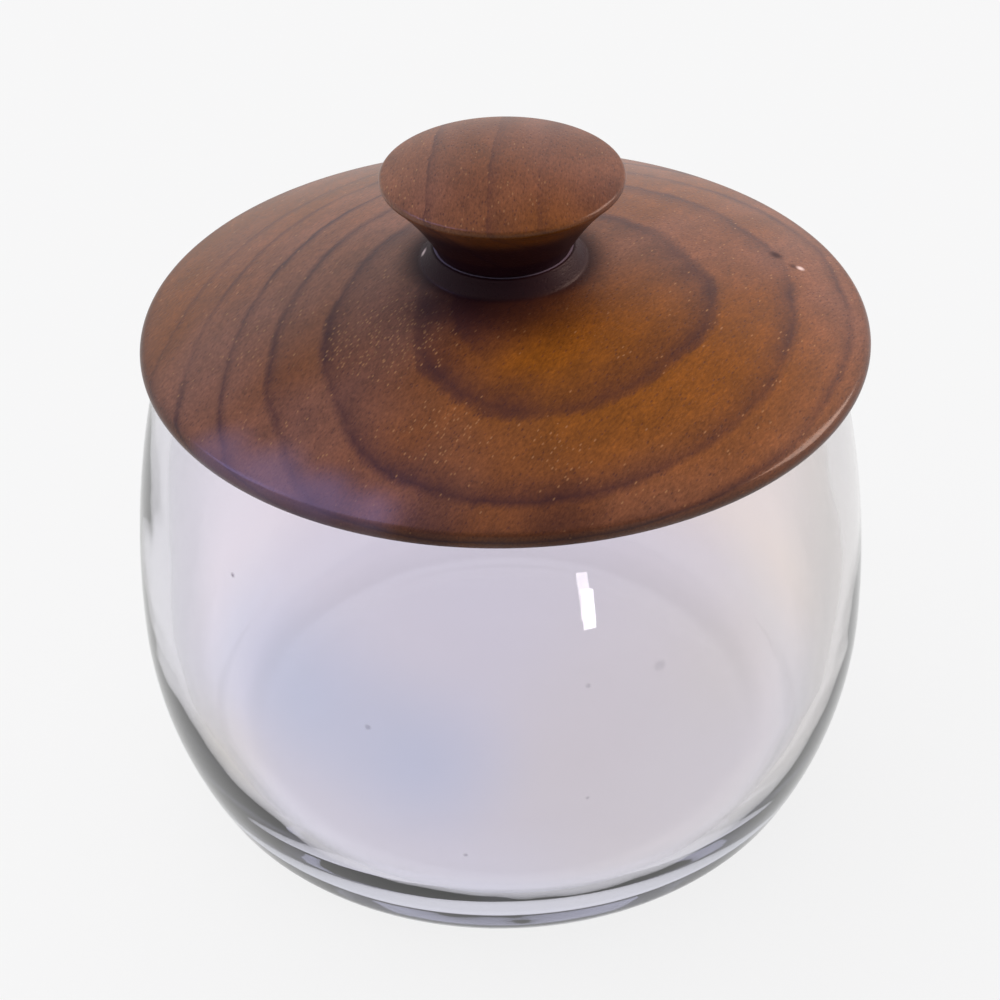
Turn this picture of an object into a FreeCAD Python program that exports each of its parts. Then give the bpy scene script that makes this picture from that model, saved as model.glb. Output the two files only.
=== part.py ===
import FreeCAD, Part
import math
import os
import Sketcher

# A round-bellied glass canister with a turned walnut lid and a turned walnut knob.
# The jar stands on the plane Z = 0 with its axis on Z; lengths are in millimetres.

doc = FreeCAD.newDocument("glass_canister")
sheet = doc.addObject("Spreadsheet::Sheet", "Sizes")

SIZES = [
    # jar, outside
    ("jar_height", 96.0, "resting plane to the top of the rim"),
    ("belly_radius", 69.5, "widest ring of the jar"),
    ("belly_level", 40.0, "height of the widest ring"),
    ("shoulder_radius", 192.0, "side arc from the widest ring up to the rim"),
    ("body_radius", 76.0, "side arc from the widest ring down to the heel"),
    ("heel_radius", 14.0, "rounding between the side and the base"),
    ("land_width", 7.8, "flat ring that the jar stands on"),
    ("punt_depth", 0.8, "rise on the axis of the hollow inside that ring"),
    # jar, inside
    ("glass_wall", 5.0, "thickness of the side from the widest ring up"),
    ("inner_side_radius", 62.0, "inner side arc from the widest ring down to the floor's rounding"),
    ("base_thickness", 7.5, "resting plane to the inner floor"),
    ("inner_heel", 12.0, "rounding between the inner floor and the side"),
    ("rim_round", 1.2, "fire-polished rounding on both edges of the rim"),
    # lid
    ("lid_overhang", 4.85, "lid's edge beyond the outside of the mouth"),
    ("edge_thickness", 3.6, "thickness of the lid's rounded edge"),
    ("crown_radius", 200.0, "arc of the lid's domed top"),
    ("boss_foot_height", 16.0, "underside of the lid to the foot of the boss"),
    ("boss_rise", 3.0, "foot of the boss to its flat top"),
    ("boss_spread", 1.9, "foot of the boss beyond its flat top"),
    ("boss_ledge", 1.1, "flat top of the boss beyond the knob's neck"),
    ("step_depth", 6.0, "step under the lid that hangs into the mouth"),
    ("step_chamfer", 1.0, "lead-in at the bottom of that step"),
    ("mouth_clearance", 1.9, "gap all round between the step and the mouth"),
    ("rest_gap", 0.4, "what is left of that gap where the loose lid lies nearest the glass"),
    # knob
    ("knob_radius", 21.6, "outside of the knob's rim"),
    ("knob_rim_height", 13.4, "foot of the knob to the middle of its rim's rounding"),
    ("knob_rim_round", 0.85, "rounding of the knob's rim"),
    ("knob_height", 17.3, "foot of the knob to its crest"),
    ("neck_radius", 12.0, "foot of the knob's neck"),
    ("flare_radius", 50.0, "hollow arc from the neck out to the rim"),
]

# Sizes that follow from those above; the sheet works them out. RISE is how far the rim stands
# above the widest ring, and DROP how far the heel's middle lies below it.
RISE = "(jar_height - belly_level)"
DROP = "(belly_level - heel_radius)"
WORKED_OUT = [
    (
        "outer_mouth",
        "=belly_radius - shoulder_radius + sqrt(shoulder_radius^2 - " + RISE + "^2)",
        "outer edge of the rim",
    ),
    (
        "inner_mouth",
        "=belly_radius - shoulder_radius + sqrt((shoulder_radius - glass_wall)^2 - " + RISE + "^2)",
        "inner edge of the rim",
    ),
    (
        "heel_reach",
        "=belly_radius - body_radius + sqrt((body_radius - heel_radius)^2 - " + DROP + "^2)",
        "axis to the middle of the heel's rounding",
    ),
    ("punt_radius", "=heel_reach - land_width", "edge of the hollow under the base"),
    ("lid_radius", "=outer_mouth + lid_overhang", "outside of the lid's edge"),
    ("step_radius", "=inner_mouth - mouth_clearance", "outside of the step under the lid"),
    ("boss_radius", "=neck_radius + boss_ledge", "flat top of the boss"),
    ("boss_foot_radius", "=boss_radius + boss_spread", "foot of the boss"),
    ("boss_height", "=boss_foot_height + boss_rise", "underside of the lid to the boss's top"),
    ("lid_shift", "=mouth_clearance - rest_gap", "how far the lid lies off the jar's axis"),
]

for row, (alias, value, note) in enumerate(SIZES + WORKED_OUT, start=1):
    sheet.set("A%d" % row, alias)
    sheet.set("B%d" % row, str(value))
    sheet.set("C%d" % row, note)
    sheet.setAlias("B%d" % row, alias)
doc.recompute()

START, END, CENTRE = 1, 2, 3
ORIGIN = (-1, 1)
RADIUS_AXIS = -1
HEIGHT_AXIS = -2
QUARTER = math.pi / 2


def size(alias):
    """The number that the sheet holds under this alias."""
    return float(sheet.get(alias))


def new_body(label):
    """An empty PartDesign body; its label names its file."""
    body = doc.addObject("PartDesign::Body", label + "_body")
    body.Label = label
    return body


def profile_sketch(body, name):
    """A sketch on the body's own XZ plane: sketch x is the radius, sketch y the height."""
    sketch = body.newObject("Sketcher::SketchObject", name)
    plane = [item for item in body.Origin.OriginFeatures if item.Role == "XZ_Plane"][0]
    sketch.AttachmentSupport = (plane, [""])
    sketch.MapMode = "FlatFace"
    return sketch


def line(sketch, start, end):
    """Adds a straight edge and gives its number."""
    edge = Part.LineSegment(FreeCAD.Vector(*start, 0), FreeCAD.Vector(*end, 0))
    return sketch.addGeometry(edge, False)


def arc(sketch, centre, radius, start_angle, end_angle):
    """Adds an anticlockwise arc and gives its number."""
    circle = Part.Circle(FreeCAD.Vector(*centre, 0), FreeCAD.Vector(0, 0, 1), radius)
    return sketch.addGeometry(Part.ArcOfCircle(circle, start_angle, end_angle), False)


def hold(sketch, kind, *places):
    """Adds a constraint that has no size of its own."""
    sketch.addConstraint(Sketcher.Constraint(kind, *places))


def drive(sketch, kind, places, value, name, formula):
    """Adds a dimension at its present value and binds it to the sheet."""
    number = sketch.addConstraint(Sketcher.Constraint(kind, *places, value))
    sketch.renameConstraint(number, name)
    sketch.setExpression("Constraints." + name, formula)


def revolve(body, sketch, name):
    """Turns the profile once round the body's own Z axis."""
    solid = body.newObject("PartDesign::Revolution", name)
    solid.Profile = sketch
    solid.ReferenceAxis = (sketch, ["V_Axis"])
    solid.Angle = 360.0
    sketch.Visibility = False
    return solid


def ring_edges(feature, height):
    """Names of the feature's circular edges at this height in its own body."""
    names = []
    for number, edge in enumerate(feature.Shape.Edges, start=1):
        box = edge.BoundBox
        level = max(abs(box.ZMin - height), abs(box.ZMax - height)) < 1e-4
        if level and isinstance(edge.Curve, Part.Circle):
            names.append("Edge%d" % number)
    return names


def circles_meet(first, first_radius, second, second_radius):
    """The point where two circles cross that lies to the right of the line between centres."""
    across, up = second[0] - first[0], second[1] - first[1]
    apart = math.hypot(across, up)
    along = (first_radius**2 - second_radius**2 + apart**2) / (2 * apart)
    aside = math.sqrt(first_radius**2 - along**2)
    across, up = across / apart, up / apart
    return (first[0] + along * across + aside * up, first[1] + along * up - aside * across)


def bearing(centre, point):
    """Angle of a point seen from a centre."""
    return math.atan2(point[1] - centre[1], point[0] - centre[0])


# Jar: one piece of clear pressed glass. Two side arcs meet at the widest ring, and a heel
# rounds into the base. The inside keeps one wall down to the widest ring, and below it the
# glass thickens towards the floor.
def heel_centre(side_centre, side_radius, radius, level):
    """Centre of a rounding that touches the side arc from inside, at a given height."""
    rise = level - side_centre[1]
    return (side_centre[0] + math.sqrt((side_radius - radius) ** 2 - rise**2), level)


def make_jar():
    """Builds the jar's body."""
    height = size("jar_height")
    belly, level = size("belly_radius"), size("belly_level")
    shoulder, side, wall = size("shoulder_radius"), size("body_radius"), size("glass_wall")
    heel, inner_heel = size("heel_radius"), size("inner_heel")
    inner_side = size("inner_side_radius")
    punt, rise, floor = size("punt_radius"), size("punt_depth"), size("base_thickness")
    shoulder_centre = (belly - shoulder, level)
    side_centre = (belly - side, level)
    inner_side_centre = (belly - wall - inner_side, level)
    outer_centre = heel_centre(side_centre, side, heel, heel)
    inner_centre = heel_centre(inner_side_centre, inner_side, inner_heel, floor + inner_heel)
    outer_turn = bearing(side_centre, outer_centre)
    inner_turn = bearing(inner_side_centre, inner_centre)
    outer_top = math.asin((height - level) / shoulder)
    inner_top = math.asin((height - level) / (shoulder - wall))
    rim_out = (shoulder_centre[0] + shoulder * math.cos(outer_top), height)
    rim_in = (shoulder_centre[0] + (shoulder - wall) * math.cos(inner_top), height)
    punt_curve = (punt**2 + rise**2) / (2 * rise)
    punt_centre = (0, rise - punt_curve)

    body = new_body("jar")
    sketch = profile_sketch(body, "jar_profile")
    shoulder_out = arc(sketch, shoulder_centre, shoulder, 0, outer_top)
    side_out = arc(sketch, side_centre, side, outer_turn, 0)
    heel_out = arc(sketch, outer_centre, heel, -QUARTER, outer_turn)
    land = line(sketch, (outer_centre[0], 0), (punt, 0))
    hollow = arc(sketch, punt_centre, punt_curve, bearing(punt_centre, (punt, 0)), QUARTER)
    axis = line(sketch, (0, rise), (0, floor))
    inside_floor = line(sketch, (0, floor), (inner_centre[0], floor))
    heel_in = arc(sketch, inner_centre, inner_heel, -QUARTER, inner_turn)
    side_in = arc(sketch, inner_side_centre, inner_side, inner_turn, 0)
    shoulder_in = arc(sketch, shoulder_centre, shoulder - wall, 0, inner_top)
    rim = line(sketch, rim_in, rim_out)

    hold(sketch, "Coincident", side_out, END, shoulder_out, START)
    hold(sketch, "Horizontal", shoulder_out, START, shoulder_out, CENTRE)
    hold(sketch, "Horizontal", side_out, END, side_out, CENTRE)
    hold(sketch, "Tangent", heel_out, END, side_out, START)
    hold(sketch, "Tangent", land, START, heel_out, START)
    hold(sketch, "Horizontal", land)
    hold(sketch, "PointOnObject", land, START, RADIUS_AXIS)
    hold(sketch, "Coincident", hollow, START, land, END)
    hold(sketch, "PointOnObject", hollow, END, HEIGHT_AXIS)
    hold(sketch, "PointOnObject", hollow, CENTRE, HEIGHT_AXIS)
    hold(sketch, "Coincident", axis, START, hollow, END)
    hold(sketch, "Vertical", axis)
    hold(sketch, "Coincident", inside_floor, START, axis, END)
    hold(sketch, "Horizontal", inside_floor)
    hold(sketch, "Tangent", inside_floor, END, heel_in, START)
    hold(sketch, "Tangent", heel_in, END, side_in, START)
    hold(sketch, "Horizontal", side_in, CENTRE, side_out, CENTRE)
    hold(sketch, "Horizontal", side_in, END, side_in, CENTRE)
    hold(sketch, "Coincident", shoulder_in, CENTRE, shoulder_out, CENTRE)
    hold(sketch, "Coincident", shoulder_in, START, side_in, END)
    hold(sketch, "Coincident", rim, START, shoulder_in, END)
    hold(sketch, "Coincident", rim, END, shoulder_out, END)
    hold(sketch, "Horizontal", rim)
    widest = (*ORIGIN, shoulder_out, START)
    drive(sketch, "DistanceX", widest, belly, "belly", "Sizes.belly_radius")
    drive(sketch, "DistanceY", widest, level, "level", "Sizes.belly_level")
    drive(sketch, "Radius", (shoulder_out,), shoulder, "shoulder", "Sizes.shoulder_radius")
    drive(sketch, "Radius", (side_out,), side, "side", "Sizes.body_radius")
    within = "Sizes.shoulder_radius - Sizes.glass_wall"
    drive(sketch, "Radius", (shoulder_in,), shoulder - wall, "inner_shoulder", within)
    drive(sketch, "Radius", (side_in,), inner_side, "inner_side", "Sizes.inner_side_radius")
    drive(sketch, "Radius", (heel_out,), heel, "heel", "Sizes.heel_radius")
    drive(sketch, "Radius", (heel_in,), inner_heel, "inner_heel", "Sizes.inner_heel")
    drive(sketch, "DistanceX", (*ORIGIN, land, END), punt, "punt", "Sizes.punt_radius")
    drive(sketch, "DistanceY", (*ORIGIN, hollow, END), rise, "rise", "Sizes.punt_depth")
    drive(sketch, "DistanceY", (*ORIGIN, axis, END), floor, "floor", "Sizes.base_thickness")
    drive(sketch, "DistanceY", (*ORIGIN, rim, END), height, "height", "Sizes.jar_height")
    turned = revolve(body, sketch, "jar_turned")
    doc.recompute()

    polish = body.newObject("PartDesign::Fillet", "rim_polish")
    polish.Base = (turned, ring_edges(turned, height))
    polish.setExpression("Radius", "Sizes.rim_round")
    return body


# Lid: one disc of walnut turned on a lathe, with a rounded edge, a domed top, a low boss for
# the knob, and a step underneath that keeps it from sliding off the mouth.
def make_lid():
    """Builds the lid's body; its own origin is the middle of its flat underside."""
    radius, edge = size("lid_radius"), size("edge_thickness")
    crown = size("crown_radius")
    foot = (size("boss_foot_radius"), size("boss_foot_height"))
    boss = (size("boss_radius"), size("boss_height"))
    step, depth = size("step_radius"), size("step_depth")
    nose_centre = (radius - edge / 2, edge / 2)
    crown_centre = circles_meet(foot, crown, nose_centre, crown - edge / 2)
    nose_turn = bearing(crown_centre, nose_centre)

    body = new_body("lid")
    sketch = profile_sketch(body, "lid_profile")
    axis = line(sketch, (0, -depth), (0, boss[1]))
    boss_top = line(sketch, (0, boss[1]), boss)
    boss_side = line(sketch, boss, foot)
    dome = arc(sketch, crown_centre, crown, nose_turn, bearing(crown_centre, foot))
    nose = arc(sketch, nose_centre, edge / 2, -QUARTER, nose_turn)
    underside = line(sketch, (nose_centre[0], 0), (step, 0))
    step_side = line(sketch, (step, 0), (step, -depth))
    step_end = line(sketch, (step, -depth), (0, -depth))

    hold(sketch, "PointOnObject", axis, START, HEIGHT_AXIS)
    hold(sketch, "Vertical", axis)
    hold(sketch, "Coincident", boss_top, START, axis, END)
    hold(sketch, "Horizontal", boss_top)
    hold(sketch, "Coincident", boss_side, START, boss_top, END)
    hold(sketch, "Coincident", dome, END, boss_side, END)
    hold(sketch, "Tangent", nose, END, dome, START)
    hold(sketch, "Tangent", underside, START, nose, START)
    hold(sketch, "Horizontal", underside)
    hold(sketch, "PointOnObject", underside, END, RADIUS_AXIS)
    hold(sketch, "Coincident", step_side, START, underside, END)
    hold(sketch, "Vertical", step_side)
    hold(sketch, "Coincident", step_end, START, step_side, END)
    hold(sketch, "Coincident", step_end, END, axis, START)
    hold(sketch, "Horizontal", step_end)
    reach = "Sizes.lid_radius - Sizes.edge_thickness / 2"
    drive(sketch, "Radius", (nose,), edge / 2, "nose", "Sizes.edge_thickness / 2")
    drive(sketch, "DistanceX", (*ORIGIN, nose, CENTRE), nose_centre[0], "reach", reach)
    drive(sketch, "Radius", (dome,), crown, "crown", "Sizes.crown_radius")
    foot_place = (*ORIGIN, boss_side, END)
    drive(sketch, "DistanceX", foot_place, foot[0], "foot_radius", "Sizes.boss_foot_radius")
    drive(sketch, "DistanceY", foot_place, foot[1], "foot_height", "Sizes.boss_foot_height")
    boss_place = (*ORIGIN, boss_top, END)
    drive(sketch, "DistanceX", boss_place, boss[0], "boss_radius", "Sizes.boss_radius")
    drive(sketch, "DistanceY", boss_place, boss[1], "boss_height", "Sizes.boss_height")
    step_place = (*ORIGIN, step_side, START)
    drive(sketch, "DistanceX", step_place, step, "step_radius", "Sizes.step_radius")
    drive(sketch, "DistanceY", (step_side, END, *ORIGIN), depth, "depth", "Sizes.step_depth")
    turned = revolve(body, sketch, "lid_turned")
    doc.recompute()

    lead_in = body.newObject("PartDesign::Chamfer", "step_lead_in")
    lead_in.Base = (turned, ring_edges(turned, -depth))
    lead_in.setExpression("Size", "Sizes.step_chamfer")
    body.setExpression("Placement.Base.x", "Sizes.lid_shift")
    body.setExpression("Placement.Base.z", "Sizes.jar_height")
    return body


# Knob: a second piece of walnut, turned with a low crest, a thin rounded rim and a hollow
# flare down to the neck, and glued with its foot flat on the lid's boss.
def make_knob():
    """Builds the knob's body; its own origin is the middle of its foot."""
    radius, edge = size("knob_radius"), size("knob_rim_round")
    middle, top = size("knob_rim_height"), size("knob_height")
    neck, flare = size("neck_radius"), size("flare_radius")
    rim_centre = (radius - edge, middle)
    inner_top = top - edge
    cap_level = (inner_top**2 - rim_centre[0] ** 2 - middle**2) / (2 * (inner_top - middle))
    cap_centre = (0, cap_level)
    flare_centre = circles_meet((neck, 0), flare, rim_centre, flare + edge)
    cap_turn = bearing(cap_centre, rim_centre)
    flare_turn = bearing(flare_centre, rim_centre)

    body = new_body("knob")
    sketch = profile_sketch(body, "knob_profile")
    axis = line(sketch, (0, 0), (0, top))
    cap = arc(sketch, cap_centre, top - cap_level, cap_turn, QUARTER)
    rim = arc(sketch, rim_centre, edge, flare_turn - math.pi, cap_turn)
    hollow = arc(sketch, flare_centre, flare, flare_turn, bearing(flare_centre, (neck, 0)))
    foot = line(sketch, (neck, 0), (0, 0))

    hold(sketch, "Coincident", axis, START, *ORIGIN)
    hold(sketch, "Vertical", axis)
    hold(sketch, "Coincident", cap, END, axis, END)
    hold(sketch, "PointOnObject", cap, CENTRE, HEIGHT_AXIS)
    hold(sketch, "Tangent", rim, END, cap, START)
    hold(sketch, "Tangent", hollow, START, rim, START)
    hold(sketch, "Coincident", foot, START, hollow, END)
    hold(sketch, "Coincident", foot, END, axis, START)
    hold(sketch, "Horizontal", foot)
    reach = "Sizes.knob_radius - Sizes.knob_rim_round"
    drive(sketch, "DistanceY", (axis, START, axis, END), top, "top", "Sizes.knob_height")
    drive(sketch, "Radius", (rim,), edge, "edge", "Sizes.knob_rim_round")
    drive(sketch, "DistanceX", (*ORIGIN, rim, CENTRE), rim_centre[0], "reach", reach)
    drive(sketch, "DistanceY", (*ORIGIN, rim, CENTRE), middle, "middle", "Sizes.knob_rim_height")
    drive(sketch, "DistanceX", (foot, END, foot, START), neck, "neck", "Sizes.neck_radius")
    drive(sketch, "Radius", (hollow,), flare, "flare", "Sizes.flare_radius")
    revolve(body, sketch, "knob_turned")
    body.setExpression("Placement.Base.x", "Sizes.lid_shift")
    body.setExpression("Placement.Base.z", "Sizes.jar_height + Sizes.boss_height")
    return body


pieces = [make_jar(), make_lid(), make_knob()]
doc.recompute()

for item in doc.Objects:
    if "Invalid" in item.State or "Error" in item.State:
        raise RuntimeError("%s could not be computed: %s" % (item.Label, item.State))
    if item.TypeId == "Sketcher::SketchObject" and not item.FullyConstrained:
        raise RuntimeError("%s is not fully constrained" % item.Label)

for piece in pieces:
    if piece.Shape.isNull() or not piece.Shape.isValid() or len(piece.Shape.Solids) != 1:
        raise RuntimeError("%s is not one valid solid" % piece.Label)

os.makedirs("parts", exist_ok=True)
for piece in pieces:
    piece.Shape.exportStep("parts/%s.step" % piece.Label)
    box = piece.Shape.optimalBoundingBox(False)
    millilitres = piece.Shape.Volume / 1000
    print("%s: %.1f ml, Z %.2f to %.2f" % (piece.Label, millilitres, box.ZMin, box.ZMax))
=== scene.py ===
import math

import bpy
import numpy as np
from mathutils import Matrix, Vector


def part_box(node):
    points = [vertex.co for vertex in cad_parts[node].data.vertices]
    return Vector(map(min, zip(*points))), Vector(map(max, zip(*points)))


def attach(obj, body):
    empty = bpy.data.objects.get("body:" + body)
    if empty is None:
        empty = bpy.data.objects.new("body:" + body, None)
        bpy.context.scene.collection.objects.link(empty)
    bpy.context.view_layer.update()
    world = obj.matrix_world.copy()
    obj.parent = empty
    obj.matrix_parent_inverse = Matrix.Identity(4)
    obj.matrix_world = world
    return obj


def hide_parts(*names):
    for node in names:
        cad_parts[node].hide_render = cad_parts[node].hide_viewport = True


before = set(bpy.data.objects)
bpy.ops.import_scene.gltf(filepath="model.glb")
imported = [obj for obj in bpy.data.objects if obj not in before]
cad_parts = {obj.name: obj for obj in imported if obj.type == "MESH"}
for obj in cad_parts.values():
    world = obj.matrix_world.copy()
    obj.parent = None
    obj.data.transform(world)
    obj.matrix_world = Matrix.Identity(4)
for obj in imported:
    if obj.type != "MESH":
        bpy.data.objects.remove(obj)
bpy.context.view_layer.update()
scene = bpy.context.scene


# Jar: one piece of clear glass with a thick flat base, a round belly and a fire-polished rim.
# It was blown into a mould, so the outside is true, while the inside and the floor are a
# little wavy. The glass has a few specks and a painted tint, lavender on one side and peach
# on the other, for cool and warm light around it.
jar_low, jar_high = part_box("jar")
BELLY = jar_high.x
JAR_TOP = jar_high.z
BELLY_LEVEL = 0.040
SHOULDER_RADIUS = 0.192
SIDE_RADIUS = 0.076
HEEL_RADIUS = 0.014
LAND_WIDTH = 0.0078
PUNT_DEPTH = 0.0008
WALL = 0.005
FLOOR_LEVEL = 0.0075
INNER_HEEL = 0.012
INNER_SIDE = 0.062
RIM_ROUND = 0.0012


def arc(centre, radius, start, end, count):
    """Points of a circle's arc: centre plus radius times (cos, sin) of angles that run evenly
    from start to end, in degrees. The end point itself is left to the next stretch."""
    angle = np.radians(np.linspace(start, end, count, endpoint=False))
    return np.array(centre) + radius * np.stack([np.cos(angle), np.sin(angle)], axis=1)


def stretch(start, end, count):
    """Evenly spaced points of a straight stretch, without its end point."""
    share = np.linspace(0, 1, count, endpoint=False)[:, None]
    return np.array(start) * (1 - share) + np.array(end) * share


def across_at(centre, reach, level):
    """Radius at which a circle of this reach round the centre crosses a height."""
    return centre[0] + math.sqrt(reach**2 - (level - centre[1]) ** 2)


def seen_from(centre, point):
    """Angle, in degrees, of a point seen from a centre."""
    return math.degrees(math.atan2(point[1] - centre[1], point[0] - centre[0]))


def turned(name, profile, steps, axis_x=0.0, relief=None):
    """A closed body of revolution. Grid point (i, j) is the profile's radius i carried round
    the upright axis by the angle 360 j / steps, at the profile's height i. relief adds to
    radius and height as a function of the grid's profile, angle and index. The profile starts
    and ends on the axis, and those two points become the poles."""
    radius = np.repeat(profile[1:-1, :1], steps, axis=1)
    height = np.repeat(profile[1:-1, 1:], steps, axis=1)
    angle = np.repeat(np.linspace(0, 2 * math.pi, steps, endpoint=False)[None], len(radius), axis=0)
    if relief is not None:
        outward, upward = relief(radius, height, angle)
        radius = radius + outward
        height = height + upward
    grid = np.stack([axis_x + radius * np.cos(angle), radius * np.sin(angle), height], axis=2)
    poles = np.array([[axis_x, 0, profile[0, 1]], [axis_x, 0, profile[-1, 1]]])
    points = np.concatenate([grid.reshape(-1, 3), poles])
    ring = np.arange(radius.size).reshape(radius.shape)
    after = np.roll(ring, -1, axis=1)
    first, last = radius.size, radius.size + 1
    quads = np.stack([ring[:-1], after[:-1], after[1:], ring[1:]], axis=2).reshape(-1, 4)
    start_fan = np.stack([np.full(steps, first), after[0], ring[0]], axis=1)
    end_fan = np.stack([np.full(steps, last), ring[-1], after[-1]], axis=1)
    corners = np.concatenate([start_fan.ravel(), end_fan.ravel(), quads.ravel()])
    sides = np.concatenate([np.full(2 * steps, 3), np.full(len(quads), 4)])
    mesh = bpy.data.meshes.new(name)
    mesh.vertices.add(len(points))
    mesh.vertices.foreach_set("co", points.ravel())
    mesh.loops.add(len(corners))
    mesh.loops.foreach_set("vertex_index", corners)
    mesh.polygons.add(len(sides))
    mesh.polygons.foreach_set("loop_start", np.cumsum(sides) - sides)
    mesh.polygons.foreach_set("use_smooth", np.ones(len(sides), bool))
    mesh.update(calc_edges=True)
    piece = bpy.data.objects.new(name, mesh)
    scene.collection.objects.link(piece)
    return piece


shoulder_centre = (BELLY - SHOULDER_RADIUS, BELLY_LEVEL)
side_centre = (BELLY - SIDE_RADIUS, BELLY_LEVEL)
inner_shoulder = SHOULDER_RADIUS - WALL
inner_side_centre = (BELLY - WALL - INNER_SIDE, BELLY_LEVEL)
heel_centre = (across_at(side_centre, SIDE_RADIUS - HEEL_RADIUS, HEEL_RADIUS), HEEL_RADIUS)
inner_heel_level = FLOOR_LEVEL + INNER_HEEL
inner_heel_centre = (
    across_at(inner_side_centre, INNER_SIDE - INNER_HEEL, inner_heel_level),
    inner_heel_level,
)
rim_level = JAR_TOP - RIM_ROUND
rim_outside = (across_at(shoulder_centre, SHOULDER_RADIUS - RIM_ROUND, rim_level), rim_level)
rim_inside = (across_at(shoulder_centre, inner_shoulder + RIM_ROUND, rim_level), rim_level)
punt_edge = heel_centre[0] - LAND_WIDTH
punt_radius = (punt_edge**2 + PUNT_DEPTH**2) / (2 * PUNT_DEPTH)
punt_centre = (0, PUNT_DEPTH - punt_radius)
heel_turn = seen_from(side_centre, heel_centre)
inner_turn = seen_from(inner_side_centre, inner_heel_centre)
rim_turn = seen_from(shoulder_centre, rim_outside)
inner_rim_turn = seen_from(shoulder_centre, rim_inside)

jar_profile = np.concatenate([
    arc(punt_centre, punt_radius, 90, seen_from(punt_centre, (punt_edge, 0)), 22),
    stretch((punt_edge, 0), (heel_centre[0], 0), 5),
    arc(heel_centre, HEEL_RADIUS, -90, heel_turn, 28),
    arc(side_centre, SIDE_RADIUS, heel_turn, 0, 20),
    arc(shoulder_centre, SHOULDER_RADIUS, 0, rim_turn, 36),
    arc(rim_outside, RIM_ROUND, rim_turn, 90, 7),
    stretch((rim_outside[0], JAR_TOP), (rim_inside[0], JAR_TOP), 2),
    arc(rim_inside, RIM_ROUND, 90, 180 + inner_rim_turn, 7),
    arc(shoulder_centre, inner_shoulder, inner_rim_turn, 0, 36),
    arc(inner_side_centre, INNER_SIDE, 0, inner_turn, 20),
    arc(inner_heel_centre, INNER_HEEL, inner_turn, -90, 28),
    stretch((inner_heel_centre[0], FLOOR_LEVEL), (0, FLOOR_LEVEL), 24),
    [(0, FLOOR_LEVEL)],
])


def wavy_inside(radius, height, angle):
    """Slow waves on the inside only: a sum of sines of the angle and the height, at most a
    few tenths of a millimetre. The inside is where a point lies deeper than half the wall."""
    outer = np.where(
        height > BELLY_LEVEL,
        shoulder_centre[0] + np.sqrt(SHOULDER_RADIUS**2 - (height - BELLY_LEVEL) ** 2),
        side_centre[0] + np.sqrt(SIDE_RADIUS**2 - (height - BELLY_LEVEL) ** 2),
    )
    inside = (radius < outer - WALL / 2) & (height > FLOOR_LEVEL - 0.001)
    calm_rim = np.clip((JAR_TOP - 0.008 - height) / 0.02, 0, 1)
    calm_axis = np.clip(radius / 0.03, 0, 1)
    wave = np.sin(3 * angle + 40 * height) + 0.7 * np.sin(5 * angle - 90 * height + 1.3)
    wave = wave + 0.5 * np.sin(2 * angle + 150 * height + 0.4)
    outward = 0.00013 * wave * inside * calm_rim * calm_axis
    floor_share = np.clip((0.02 - height) / 0.01, 0, 1)
    upward = 0.00010 * np.sin(2 * angle + 0.8 + 60 * radius) * inside * floor_share * calm_axis
    return outward, upward


def add(tree, kind, inputs, **settings):
    """A new shader node. settings are its own properties, and each input is either a value or
    the output of another node."""
    made = tree.nodes.new("ShaderNode" + kind)
    for key, value in settings.items():
        setattr(made, key, value)
    for key, value in inputs.items():
        if isinstance(value, bpy.types.NodeSocket):
            tree.links.new(value, made.inputs[key])
        else:
            made.inputs[key].default_value = value
    return made


def maths(tree, operation, *values):
    """The output of a Math node on one, two or three values."""
    return add(tree, "Math", dict(enumerate(values)), operation=operation).outputs[0]


def blend(tree, share, first, second, mode="MIX"):
    """The colour that a Mix node gives between two colours."""
    mixer = add(tree, "Mix", {}, data_type="RGBA", blend_type=mode)
    for key, value in ((0, share), (6, first), (7, second)):
        if isinstance(value, bpy.types.NodeSocket):
            tree.links.new(value, mixer.inputs[key])
        else:
            mixer.inputs[key].default_value = value
    return mixer.outputs[2]


def ramp(tree, value, stops, interpolation="LINEAR"):
    """The colour output of a ramp; stops are pairs of a place and a grey level or a colour."""
    made = add(tree, "ValToRGB", {0: value})
    made.color_ramp.interpolation = interpolation
    colours = made.color_ramp.elements
    while len(colours) < len(stops):
        colours.new(1.0)
    for element, (place, colour) in zip(colours, stops):
        element.position = place
        element.color = (colour,) * 3 + (1,) if isinstance(colour, float) else (*colour, 1)
    return made.outputs["Color"]


def noise(tree, vector, scale, detail=3.0, roughness=0.5, stretch_by=None):
    """Factor output of a noise texture; stretch_by divides how fast each axis runs."""
    if stretch_by is not None:
        vector = add(tree, "VectorMath", {0: vector, 1: stretch_by}, operation="MULTIPLY").outputs[0]
    settings = {"Vector": vector, "Scale": scale, "Detail": detail, "Roughness": roughness}
    return add(tree, "TexNoise", settings).outputs[0]


def empty_material(name):
    """A material with nothing but its output node, and that node's tree."""
    material = bpy.data.materials.new(name)
    material.use_nodes = True
    material.node_tree.nodes.clear()
    return material, material.node_tree


def finish_with(tree, surface, body=None):
    """Sends a surface shader, and for glass the shader of its body, to the output."""
    output = tree.nodes.new("ShaderNodeOutputMaterial")
    tree.links.new(surface.outputs[0], output.inputs["Surface"])
    if body is not None:
        tree.links.new(body.outputs[0], output.inputs["Volume"])


def spot(tree, place, centre, core, rim, strength=1.0):
    """The strength within core metres of a centre, easing to 0 at rim metres from it."""
    away = add(tree, "VectorMath", {0: place, 1: centre}, operation="DISTANCE").outputs["Value"]
    fade = {"Value": away, "From Min": core, "From Max": rim, "To Min": strength, "To Max": 0.0}
    return add(tree, "MapRange", fade, interpolation_type="SMOOTHSTEP").outputs[0]


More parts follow.
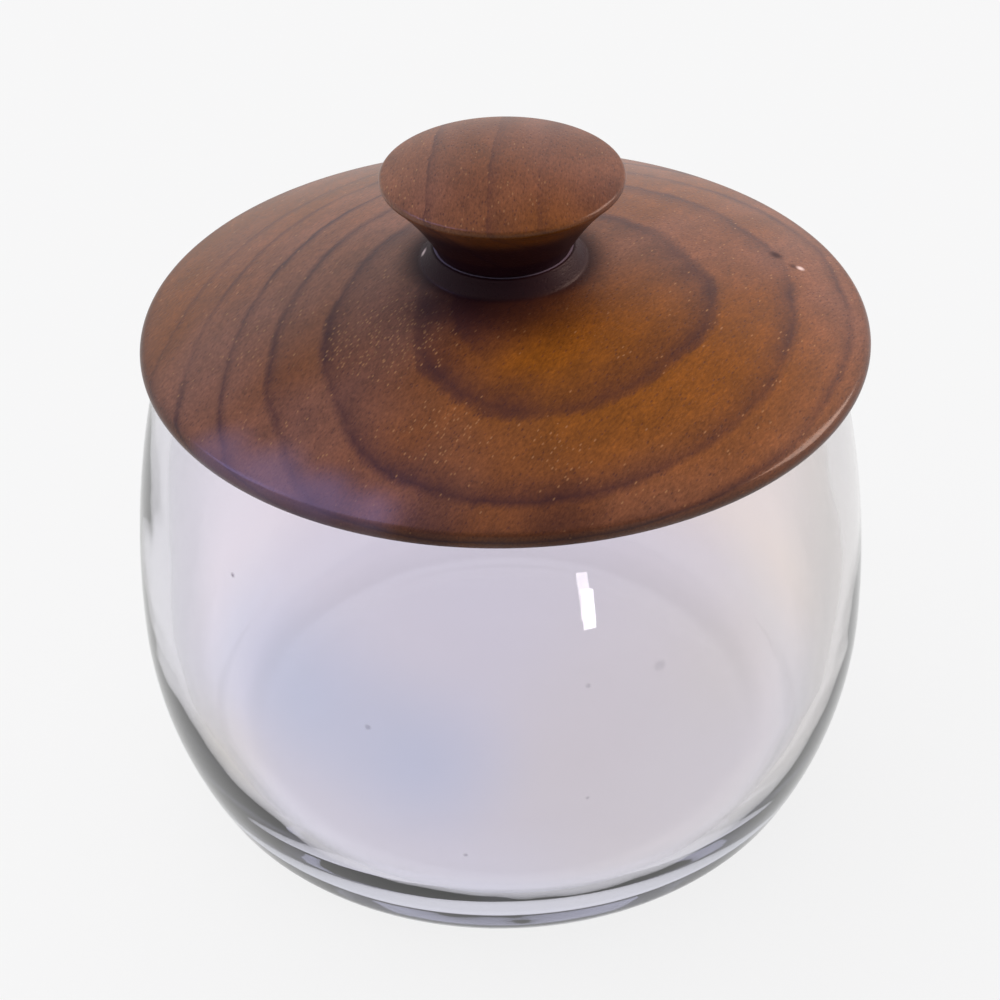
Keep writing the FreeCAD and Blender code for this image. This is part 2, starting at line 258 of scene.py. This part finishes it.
LAVENDER = (0.990, 0.960, 1.0)
PEACH = (1.0, 0.950, 0.920)
SKY = (0.84, 0.88, 1.0)
STRAW = (0.99, 0.93, 0.86)
SHADED_FOOT = (0.90, 0.92, 1.0)
FACING_SHADE = (0.925, 0.895, 0.910)
SPECK = (0.20, 0.18, 0.22)
EDGE_GREY = (0.74, 0.77, 0.77)
CLEAR = (1.0, 1.0, 1.0)
FOOT_TOP = 0.026
FOOT_END = 0.012
GLASS_IOR = 1.5
DEEP_GLASS = (0.30, 0.30, 0.45)
DEPTH_OF_COLOUR = 13.0

# Centre, radius and colour of each soft cast, then centre, radius and strength of each speck.
CASTS = [
    ((-0.035, -0.059, 0.060), 0.026, SKY), ((-0.016, -0.066, 0.052), 0.024, SKY),
    ((-0.052, -0.047, 0.038), 0.018, STRAW), ((0.044, -0.052, 0.066), 0.026, STRAW),
]
SPECKS = [
    ((-0.0459, -0.0470, 0.0780), 0.0007, 0.9), ((-0.0232, -0.0646, 0.0584), 0.0008, 0.6),
    ((0.0141, -0.0658, 0.0678), 0.0007, 0.5), ((0.0263, -0.0619, 0.0686), 0.0016, 0.3),
    ((0.0140, -0.0678, 0.0443), 0.0006, 0.5), ((-0.0072, -0.0687, 0.0319), 0.0006, 0.7),
]


def clear_glass():
    """Smooth clear glass with painted light in its tint: lavender on one side drifting to peach on
    the other for cool and warm light around it, painted blue-grey shade at the foot for the
    shaded ground seen through the base, painted shade where it is looked at squarely for the
    dark room it mirrors and the lid's shadow, and grey along its outline. It has slow ripples,
    a few specks and a perfect polish, which renders faster than a dull one."""
    material, tree = empty_material("clear_glass")
    place = add(tree, "TexCoord", {}).outputs["Object"]
    sideways, _, upright = add(tree, "SeparateXYZ", {0: place}).outputs
    drift = noise(tree, place, 16.0, 1.0)
    share = maths(tree, "MULTIPLY_ADD", sideways, 9.0, drift)
    # Painted light: lavender on one side and peach on the other, for cool and warm light around the
    # jar.
    tint = ramp(tree, share, [(0.35, LAVENDER), (0.85, PEACH)], "EASE")
    for centre, rim, colour in CASTS:
        tint = blend(tree, spot(tree, place, centre, 0.0, rim), tint, (*colour, 1))
    # Painted shade: the tint turns blue-grey at the foot, for the shaded ground seen through the
    # base.
    fade = {"Value": upright, "From Min": FOOT_END, "From Max": FOOT_TOP, "To Min": 1.0}
    foot = add(tree, "MapRange", {**fade, "To Max": 0.0}).outputs[0]
    tint = blend(tree, foot, tint, (*SHADED_FOOT, 1))
    for centre, rim, strength in SPECKS:
        share = spot(tree, place, centre, 0.2 * rim, rim, strength)
        tint = blend(tree, share, tint, (*SPECK, 1))
    # Painted shade where the glass is looked at squarely, for the dark room it mirrors and the lid's
    # shadow, and grey along the outline.
    aside = add(tree, "LayerWeight", {"Blend": 0.5}).outputs["Facing"]
    aside = maths(tree, "SUBTRACT", aside, maths(tree, "MULTIPLY", foot, 0.15))
    edge = ramp(tree, aside, [(0.12, FACING_SHADE), (0.32, CLEAR), (0.48, CLEAR), (0.64, EDGE_GREY)])
    tint = blend(tree, 1.0, tint, edge, "MULTIPLY")
    slow = noise(tree, place, 30.0, 1.0, 0.4, (1.0, 1.0, 0.5))
    ripple = maths(tree, "MULTIPLY_ADD", noise(tree, place, 150.0, 0.0), 0.07, slow)
    bump = add(tree, "Bump", {"Height": ripple, "Strength": 0.05, "Distance": 0.004})
    shader = add(tree, "BsdfPrincipled", {
        "Base Color": tint, "Roughness": 0.0, "IOR": GLASS_IOR, "Transmission Weight": 1.0,
        "Normal": bump.outputs[0],
    })
    body = add(tree, "VolumeAbsorption", {"Color": (*DEEP_GLASS, 1), "Density": DEPTH_OF_COLOUR})
    finish_with(tree, shader, body)
    return material


jar = turned("glass_jar", jar_profile, 384, relief=wavy_inside)
jar.data.materials.append(clear_glass())
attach(jar, "root")
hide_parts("jar")


# Lid: one disc of plain-sawn walnut, turned to a low dome with a rounded edge, a low boss in
# the middle and a step underneath that sits in the mouth. The dome cuts the growth layers
# into nested ovals, drawn out along the grain. It is oiled and rubbed to a satin sheen.
lid_low, lid_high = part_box("lid")
LID_AXIS = (lid_low.x + lid_high.x) / 2
LID_RADIUS = (lid_high.x - lid_low.x) / 2
UNDERSIDE = JAR_TOP
STEP_END = lid_low.z
BOSS_TOP = lid_high.z
EDGE = 0.0036
CROWN_RADIUS = 0.200
BOSS_FOOT = (0.0150, UNDERSIDE + 0.016)
BOSS_RADIUS = 0.0131
BOSS_EDGE = 0.0004
STEP_RADIUS = 0.0540
STEP_CHAMFER = 0.001


def circles_meet(first, first_radius, second, second_radius):
    """The crossing of two circles that lies to the right of the line between their centres."""
    across, up = second[0] - first[0], second[1] - first[1]
    apart = math.hypot(across, up)
    along = (first_radius**2 - second_radius**2 + apart**2) / (2 * apart)
    aside = math.sqrt(first_radius**2 - along**2)
    across, up = across / apart, up / apart
    return (first[0] + along * across + aside * up, first[1] + along * up - aside * across)


nose_centre = (LID_RADIUS - EDGE / 2, UNDERSIDE + EDGE / 2)
crown_centre = circles_meet(BOSS_FOOT, CROWN_RADIUS, nose_centre, CROWN_RADIUS - EDGE / 2)
nose_turn = seen_from(crown_centre, nose_centre)

lid_profile = np.concatenate([
    stretch((0, STEP_END), (STEP_RADIUS - STEP_CHAMFER, STEP_END), 20),
    stretch((STEP_RADIUS - STEP_CHAMFER, STEP_END), (STEP_RADIUS, STEP_END + STEP_CHAMFER), 3),
    stretch((STEP_RADIUS, STEP_END + STEP_CHAMFER), (STEP_RADIUS, UNDERSIDE), 6),
    stretch((STEP_RADIUS, UNDERSIDE), (nose_centre[0], UNDERSIDE), 10),
    arc(nose_centre, EDGE / 2, -90, nose_turn, 18),
    arc(crown_centre, CROWN_RADIUS, nose_turn, seen_from(crown_centre, BOSS_FOOT), 130),
    stretch(BOSS_FOOT, (BOSS_RADIUS + BOSS_EDGE * 0.4, BOSS_TOP - BOSS_EDGE), 6),
    arc((BOSS_RADIUS - BOSS_EDGE, BOSS_TOP - BOSS_EDGE), BOSS_EDGE, 20, 90, 5),
    stretch((BOSS_RADIUS - BOSS_EDGE, BOSS_TOP), (0, BOSS_TOP), 8),
    [(0, BOSS_TOP)],
])

GRAIN_TURN = -31.3
WARM_WALNUT = (0.176, 0.058, 0.014)
MAUVE_WALNUT = (0.196, 0.082, 0.046)
OCHRE_WALNUT = (0.205, 0.066, 0.002)
DARK_WALNUT = (0.030, 0.009, 0.015)
PORE_GLINT = (0.38, 0.19, 0.07)
PALE_FLECK = (0.75, 0.62, 0.55)
RING_GLINT = (0.30, 0.26, 0.36)
STAIN_AND_SHADE = (0.017, 0.004, 0.009)
WINDOW_REFLECTION = (0.19, 0.13, 0.20)
BLOCK_DEPTH = 40.0
WALNUT_IOR = 1.45


def years_of(tree, layer, years, breadth=1.0):
    """Late wood of each year: 0, then up to its strength at its own level in the block, and
    back to 0 over breadth times its fade. Levels and fades are in millimetres of depth."""
    stops = [(0.0, 0.0)]
    for level, strength, fade in years:
        spread = fade * breadth
        stops += [(level - 0.18, 0.0), (level, strength)]
        stops += [(level + 0.35 * spread, 0.55 * strength), (level + spread, 0.0)]
    stops = [(level / BLOCK_DEPTH, strength) for level, strength in stops]
    return ramp(tree, maths(tree, "DIVIDE", layer, BLOCK_DEPTH), stops)


def walnut(name, middle, turn, tilt, bow, years, wobble, heavy, ochre, pore_glints, stains_and_shade, pale,
           glint_rings, dark):
    """Oiled walnut cut from one block. middle is the pattern's origin and turn swings its long
    axis to the grain, both on Object coordinates, so x runs across the grain, y along it and z
    up, in millimetres. The growth layer is z + tilt.x x + tilt.y y + bow y^2 plus slow noise,
    and the years give it dark late wood. heavy, ochre, gilded, stained and pale are lists of
    spots: broad late wood, warmer wood, painted glints in open pores, dark spots that also dull
    the coat, which are painted shade partly over darker finish and end grain, and a knot, and
    chips and a painted window reflection with a colour each. glue lists the centre and radius
    of each thin ring of painted highlight, and dark is two heights between which painted shade,
    partly over darker finish and end grain, eases from dark to none, with its strength."""
    material, tree = empty_material(name)
    place = add(tree, "TexCoord", {}).outputs["Object"]
    upright = add(tree, "SeparateXYZ", {0: place}).outputs[2]
    settings = {"Vector": place, "Location": middle, "Scale": (0.001, 0.001, 0.001)}
    settings["Rotation"] = (0, 0, math.radians(turn))
    wood = add(tree, "Mapping", settings, vector_type="TEXTURE").outputs[0]
    along = add(tree, "SeparateXYZ", {0: wood}).outputs[1]

    slow = noise(tree, wood, 0.055, 2.0, 0.5, (1.0, 0.6, 1.0))
    fray = noise(tree, wood, 0.9, 3.0, 0.6, (1.0, 0.22, 1.0))
    slant = add(tree, "VectorMath", {0: wood, 1: (*tilt, 1.0)}, operation="DOT_PRODUCT")
    bowed = maths(tree, "MULTIPLY_ADD", maths(tree, "MULTIPLY", along, along), bow,
                  slant.outputs["Value"])
    layer = maths(tree, "MULTIPLY_ADD", maths(tree, "SUBTRACT", slow, 0.5), wobble, bowed)
    layer = maths(tree, "MULTIPLY_ADD", maths(tree, "SUBTRACT", fray, 0.5), 0.35 * wobble, layer)
    patchy = noise(tree, wood, 0.075, 2.0, 0.5, (1.0, 0.6, 1.0))
    late = maths(tree, "MULTIPLY", years_of(tree, layer, years),
                 ramp(tree, patchy, [(0.30, 0.45), (0.62, 1.0)]))
    for centre, core, rim, strength in heavy:
        share = spot(tree, place, centre, core, rim, strength)
        broad_late = maths(tree, "MULTIPLY", years_of(tree, layer, years, 3.2), share)
        late = maths(tree, "MAXIMUM", late, broad_late)

    broad = noise(tree, wood, 0.040, 2.0, 0.5, (1.0, 0.5, 1.0))
    body = ramp(tree, broad, [(0.35, MAUVE_WALNUT), (0.65, WARM_WALNUT)])
    for centre, core, rim, strength in ochre:
        share = spot(tree, place, centre, core, rim, strength)
        body = blend(tree, share, body, (*OCHRE_WALNUT, 1))
    fibre = noise(tree, wood, 2.6, 4.0, 0.7, (1.0, 0.28, 1.0))
    cloud = noise(tree, wood, 0.22, 3.0, 0.6, (1.0, 0.5, 1.0))
    body = blend(tree, 1.0, body, ramp(tree, fibre, [(0.28, 0.62), (0.72, 1.34)]), "MULTIPLY")
    body = blend(tree, 1.0, body, ramp(tree, cloud, [(0.30, 0.82), (0.70, 1.14)]), "MULTIPLY")
    body = blend(tree, late, body, (*DARK_WALNUT, 1))

    grains = add(tree, "VectorMath", {0: wood, 1: (1.0, 0.34, 1.0)}, operation="MULTIPLY")
    cells = add(tree, "TexVoronoi", {"Vector": grains.outputs[0], "Scale": 1.9})
    open_pore = ramp(tree, cells.outputs["Distance"], [(0.16, 1.0), (0.36, 0.0)])
    chance = add(tree, "SeparateColor", {0: cells.outputs["Color"]}).outputs[0]
    # Painted glints: a share of the open pores is drawn light gold, more of them in the listed
    # patches.
    swarm = ramp(tree, noise(tree, wood, 0.12, 2.0), [(0.42, 0.015), (0.65, 0.11)])
    for centre, core, rim, strength in pore_glints:
        share = spot(tree, place, centre, core, rim, strength)
        swarm = maths(tree, "MAXIMUM", swarm, share)
    lit = maths(tree, "MULTIPLY", open_pore, maths(tree, "LESS_THAN", chance, swarm))
    body = blend(tree, maths(tree, "MULTIPLY", lit, 0.60), body, (*PORE_GLINT, 1))
    sunk = maths(tree, "MULTIPLY", open_pore, maths(tree, "GREATER_THAN", chance, 0.72))
    body = blend(tree, maths(tree, "MULTIPLY", sunk, 0.40), body, (*DARK_WALNUT, 1))
    # Painted shade: the dark band and the dark spots, partly over darker finish, end grain and a
    # knot. The spots also dull the coat.
    fade = {"Value": upright, "From Min": dark[0], "From Max": dark[1], "To Min": dark[2]}
    fade = add(tree, "MapRange", {**fade, "To Max": 0.0}, interpolation_type="SMOOTHSTEP")
    matt_and_shade = 0.0
    for centre, core, rim, strength in stains_and_shade:
        share = spot(tree, place, centre, core, rim, strength)
        matt_and_shade = maths(tree, "MAXIMUM", matt_and_shade, share)
    shade_and_stain = maths(tree, "MAXIMUM", fade.outputs[0], matt_and_shade)
    body = blend(tree, shade_and_stain, body, (*STAIN_AND_SHADE, 1))
    coat = maths(tree, "MULTIPLY_ADD", matt_and_shade, -0.39, 0.40)
    # Pale spots: chips, and on the lid a painted reflection of a window near the front rim.
    for centre, core, rim, strength, colour in pale:
        share = spot(tree, place, centre, core, rim, strength)
        body = blend(tree, share, body, (*colour, 1))
    # Thin rings of painted highlight, along an edge that catches the light.
    for centre, radius in glint_rings:
        out = add(tree, "VectorMath", {0: place, 1: centre}, operation="DISTANCE").outputs["Value"]
        line = maths(tree, "COMPARE", out, radius, 0.0002)
        body = blend(tree, maths(tree, "MULTIPLY", line, 0.6), body, (*RING_GLINT, 1))

    rubbed = maths(tree, "MULTIPLY_ADD", fibre, 0.20, 0.38)
    relief = maths(tree, "MULTIPLY_ADD", open_pore, -0.5, maths(tree, "MULTIPLY", fibre, 0.5))
    bump = add(tree, "Bump", {"Height": relief, "Strength": 0.35, "Distance": 0.0002})
    shader = add(tree, "BsdfPrincipled", {
        "Base Color": body, "Roughness": rubbed, "IOR": WALNUT_IOR, "Normal": bump.outputs[0],
        "Specular IOR Level": 0.12, "Coat Weight": coat, "Coat Roughness": 0.16,
        "Coat IOR": WALNUT_IOR,
    })
    finish_with(tree, shader)
    return material


lid = turned("walnut_lid", lid_profile, 440, axis_x=LID_AXIS)
CROWN = UNDERSIDE + 0.013
lid.data.materials.append(walnut(
    "walnut_lid", middle=(LID_AXIS, 0, UNDERSIDE), turn=GRAIN_TURN, tilt=(0.0965, -0.0191),
    bow=0.00131, wobble=1.0,
    heavy=[
        ((-0.010, -0.018, CROWN), 0.006, 0.020, 1.0), ((-0.029, -0.030, CROWN), 0.006, 0.020, 0.5),
    ],
    years=[
        (3.1, 0.5, 0.6), (5.54, 0.85, 0.45), (8.10, 0.95, 0.5), (10.40, 0.85, 0.55),
        (12.75, 0.80, 1.1), (15.53, 0.90, 1.0),
    ],
    ochre=[((0.016, -0.030, CROWN), 0.008, 0.036, 0.95), ((0.038, -0.028, CROWN), 0.0, 0.040, 0.8)],
    # Patches where more open pores carry a painted glint.
    pore_glints=[
        ((-0.019, -0.022, CROWN), 0.006, 0.015, 0.90), ((0.008, -0.052, CROWN), 0.002, 0.012, 0.6),
        ((-0.045, -0.018, CROWN), 0.002, 0.012, 0.35), ((-0.010, -0.046, CROWN), 0.002, 0.014, 0.4),
    ],
    # A knot at the right, and painted shade, partly over darker finish and end grain, under and in
    # front of the knob and along the front of the rim.
    stains_and_shade=[
        ((LID_AXIS, 0, BOSS_TOP), 0.0142, 0.0215, 0.97),
        ((0.001, -0.010, BOSS_TOP), 0.008, 0.022, 0.80),
        ((-0.009, -0.015, CROWN + 0.002), 0.002, 0.010, 0.75),
        ((0.0518, 0.0125, CROWN - 0.005), 0.0003, 0.0020, 0.75),
        ((0.0545, 0.0095, CROWN - 0.006), 0.0003, 0.0014, 0.6),
        ((-0.030, -0.0580, UNDERSIDE), 0.002, 0.014, 0.60),
        ((-0.012, -0.0640, UNDERSIDE), 0.002, 0.013, 0.60),
        ((0.010, -0.0640, UNDERSIDE), 0.002, 0.013, 0.55),
    ],
    pale=[
        ((0.0560, 0.0095, CROWN - 0.0062), 0.0002, 0.0011, 0.9, PALE_FLECK),
        ((-0.0125, 0.0005, CROWN + 0.0040), 0.0003, 0.0012, 0.8, PALE_FLECK),
        ((0.0, -0.0215, CROWN + 0.0012), 0.0001, 0.0007, 0.8, PALE_FLECK),
        # Painted reflection of a cool window near the front-left rim.
        ((-0.0475, -0.0435, 0.1000), 0.002, 0.010, 0.45, WINDOW_REFLECTION),
        ((-0.0385, -0.0500, 0.1000), 0.002, 0.010, 0.50, WINDOW_REFLECTION),
        ((-0.0300, -0.0560, 0.1000), 0.002, 0.009, 0.50, WINDOW_REFLECTION),
        ((-0.0215, -0.0600, 0.1000), 0.001, 0.007, 0.35, WINDOW_REFLECTION),
    ],
    # Painted highlight: a thin bright ring on the boss's edge at the knob's foot.
    glint_rings=[((LID_AXIS, 0, BOSS_TOP), 0.0123)],
    # Painted shade, with some darker end grain, low on the rounded edge.
    dark=(UNDERSIDE + 0.0028, UNDERSIDE + 0.0042, 0.42),
))
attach(lid, "root")
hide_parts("lid")


# Knob: a second piece of walnut, turned with a low crest, a thin rounded rim and a hollow
# flare down to its neck. Its own grain runs from front to back, and it is glued to the boss.
knob_low, knob_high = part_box("knob")
KNOB_AXIS = (knob_low.x + knob_high.x) / 2
KNOB_RADIUS = (knob_high.x - knob_low.x) / 2
FOOT_LEVEL = knob_low.z
CREST = knob_high.z
KNOB_RIM_ROUND = 0.00085
KNOB_RIM_LEVEL = FOOT_LEVEL + 0.0134
NECK_RADIUS = 0.0120
FLARE_RADIUS = 0.050

knob_rim = (KNOB_RADIUS - KNOB_RIM_ROUND, KNOB_RIM_LEVEL)
inner_crest = CREST - KNOB_RIM_ROUND
cap_level = (inner_crest**2 - knob_rim[0] ** 2 - KNOB_RIM_LEVEL**2) / (
    2 * (inner_crest - KNOB_RIM_LEVEL)
)
cap_centre = (0, cap_level)
flare_centre = circles_meet(
    (NECK_RADIUS, FOOT_LEVEL), FLARE_RADIUS, knob_rim, FLARE_RADIUS + KNOB_RIM_ROUND
)
cap_turn = seen_from(cap_centre, knob_rim)
flare_turn = seen_from(flare_centre, knob_rim)
neck_turn = seen_from(flare_centre, (NECK_RADIUS, FOOT_LEVEL))

knob_profile = np.concatenate([
    stretch((0, FOOT_LEVEL), (NECK_RADIUS, FOOT_LEVEL), 8),
    arc(flare_centre, FLARE_RADIUS, neck_turn % 360, flare_turn % 360, 44),
    arc(knob_rim, KNOB_RIM_ROUND, (flare_turn % 360) - 180, cap_turn, 16),
    arc(cap_centre, CREST - cap_level, cap_turn, 90, 70),
    [(0, CREST)],
])

knob = turned("walnut_knob", knob_profile, 360, axis_x=KNOB_AXIS)
knob.data.materials.append(walnut(
    "walnut_knob", middle=(KNOB_AXIS - 0.012, 0, FOOT_LEVEL), turn=-6.0, tilt=(0.9, 0.0),
    bow=0.006, wobble=4.0, heavy=[],
    years=[(15.6, 0.75, 2.0), (26.6, 0.45, 2.5), (34.0, 0.25, 2.5)],
    ochre=[((KNOB_AXIS + 0.006, -0.026, CREST - 0.004), 0.0, 0.024, 0.7)],
    # A patch where more open pores carry a painted glint.
    pore_glints=[((KNOB_AXIS, -0.012, CREST), 0.002, 0.014, 0.20)],
    # Painted shade on the knob's front, under its flare and at its neck, where the finish is also
    # dark, and its top toned down.
    stains_and_shade=[
        ((KNOB_AXIS, -0.023, CREST - 0.004), 0.0, 0.017, 0.35),
        ((KNOB_AXIS + 0.008, 0, CREST), 0.018, 0.030, 0.20),
        ((KNOB_AXIS, 0, FOOT_LEVEL), 0.0135, 0.0180, 0.97),
        ((KNOB_AXIS + 0.018, -0.010, KNOB_RIM_LEVEL - 0.004), 0.002, 0.016, 0.45),
    ],
    # Below the dark heights, painted shade over darker finish on the neck and under the flare.
    pale=[], glint_rings=[], dark=(FOOT_LEVEL + 0.0075, FOOT_LEVEL + 0.0125, 0.90),
))
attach(knob, "root")
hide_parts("knob")


# Studio: a wide pale floor just under the jar and soft daylight from behind and above. A cool
# window at the left and a warm wall at the right light only the wood, and a small bright pane
# in front lights only the glass, which mirrors it.
FLOOR_GAP = 0.00005
FLOOR_SIZE = 12
CHALK = (0.80, 0.80, 0.80)
FLOOR_GLOW = 0.985
GLOW_SHARE = 0.86
PALE = 0.93
OVERHEAD = 0.12
DAYLIGHT_FROM = (-0.34, 0.44, 0.83)
DAYLIGHT_STRENGTH = 1.42
COOL = (0.42, 0.42, 1.0)
WARM = (1.0, 0.72, 0.60)
WHITE = (1.0, 1.0, 1.0)


def seen_or_mirrored(tree):
    """1 on camera, glossy and transmission rays, so that the glass and the sheen show the pale
    ground as the camera does, and 0 on the rays that light the object."""
    path = add(tree, "LightPath", {}).outputs
    total = maths(tree, "ADD", path["Is Camera Ray"], path["Is Glossy Ray"])
    total = maths(tree, "ADD", path["Is Transmission Ray"], total)
    return maths(tree, "MINIMUM", total, 1.0)


bpy.ops.mesh.primitive_plane_add(size=FLOOR_SIZE, location=(0, 0, -FLOOR_GAP))
floor = bpy.context.object
floor.name = "studio_floor"
floor_material, tree = empty_material("studio_floor")
chalk = add(tree, "BsdfDiffuse", {"Color": (*CHALK, 1)})
glow = add(tree, "Emission", {"Color": (*WHITE, 1), "Strength": FLOOR_GLOW})
share = maths(tree, "MULTIPLY", seen_or_mirrored(tree), GLOW_SHARE)
finish_with(tree, add(tree, "MixShader", {0: share, 1: chalk.outputs[0], 2: glow.outputs[0]}))
floor.data.materials.append(floor_material)

world = bpy.data.worlds.new("studio_world")
scene.world = world
world.use_nodes = True
tree = world.node_tree
tree.nodes.clear()
heading = add(tree, "TexCoord", {}).outputs["Generated"]
upward = add(tree, "SeparateXYZ", {0: heading}).outputs[2]
dome = ramp(tree, upward, [(0.45, PALE), (0.75, OVERHEAD)], "EASE")
settings = {0: heading, 1: DAYLIGHT_FROM}
facing = add(tree, "VectorMath", settings, operation="DOT_PRODUCT").outputs["Value"]
daylight = ramp(tree, facing, [
    (0.0, (0.08, 0.08, 0.09)), (0.5, (0.38, 0.38, 0.41)), (1.0, (1.0, 0.99, 1.0)),
])
room = add(tree, "Background", {"Color": daylight, "Strength": DAYLIGHT_STRENGTH})
ground = add(tree, "Background", {"Color": dome, "Strength": 1.0})
both = add(tree, "MixShader", {0: seen_or_mirrored(tree), 1: room.outputs[0], 2: ground.outputs[0]})
output = tree.nodes.new("ShaderNodeOutputWorld")
tree.links.new(both.outputs[0], output.inputs["Surface"])


def soft_light(name, place, towards, size, power, colour, lit):
    """An upright area light at one point that faces another and lights only the pieces given."""
    lamp = bpy.data.lights.new(name, "AREA")
    lamp.shape = "RECTANGLE"
    lamp.size, lamp.size_y = size
    lamp.energy = power
    lamp.color = colour
    holder = bpy.data.objects.new(name, lamp)
    scene.collection.objects.link(holder)
    holder.location = place
    aim = Vector(towards) - Vector(place)
    holder.rotation_euler = aim.to_track_quat("-Z", "Y").to_euler()
    receivers = bpy.data.collections.new("lit_by_" + name)
    for piece in lit:
        receivers.objects.link(piece)
    holder.light_linking.receiver_collection = receivers


wood = (lid, knob)
rim = (0, 0, JAR_TOP)
shoulder = (0.014, -0.060, 0.083)
soft_light("blue_window", (-0.54, 0.20, 1.00), rim, (0.30, 0.70), 3.6, COOL, wood)
soft_light("warm_wall", (0.90, 0.30, 0.70), rim, (0.60, 0.50), 11.0, WARM, wood)
soft_light("front_pane", (0.117, -0.283, 0.021), shoulder, (0.017, 0.028), 0.02, WHITE, (jar,))


# Camera: it looks down on the jar from the front with a long lens, and leans very slightly.
# Light may cross the glass many times, so the base shows its light and dark bands.
SENSOR = 36.0
LENS = 86.4
AIM_LEVEL = 0.05858
DISTANCE = 0.45949
PITCH = math.radians(35.994)
ROLL = math.radians(-1.129)

camera_data = bpy.data.cameras.new("camera")
camera_data.sensor_width = SENSOR
camera_data.lens = LENS
camera = bpy.data.objects.new("camera", camera_data)
scene.collection.objects.link(camera)
camera.location = (0, -DISTANCE * math.cos(PITCH), AIM_LEVEL + DISTANCE * math.sin(PITCH))
lean = Matrix.Rotation(math.pi / 2 - PITCH, 3, "X") @ Matrix.Rotation(ROLL, 3, "Z")
camera.rotation_euler = lean.to_euler()
scene.camera = camera
scene.view_settings.view_transform = "Standard"
scene.cycles.max_bounces = 16
scene.cycles.glossy_bounces = 8
scene.cycles.transmission_bounces = 14
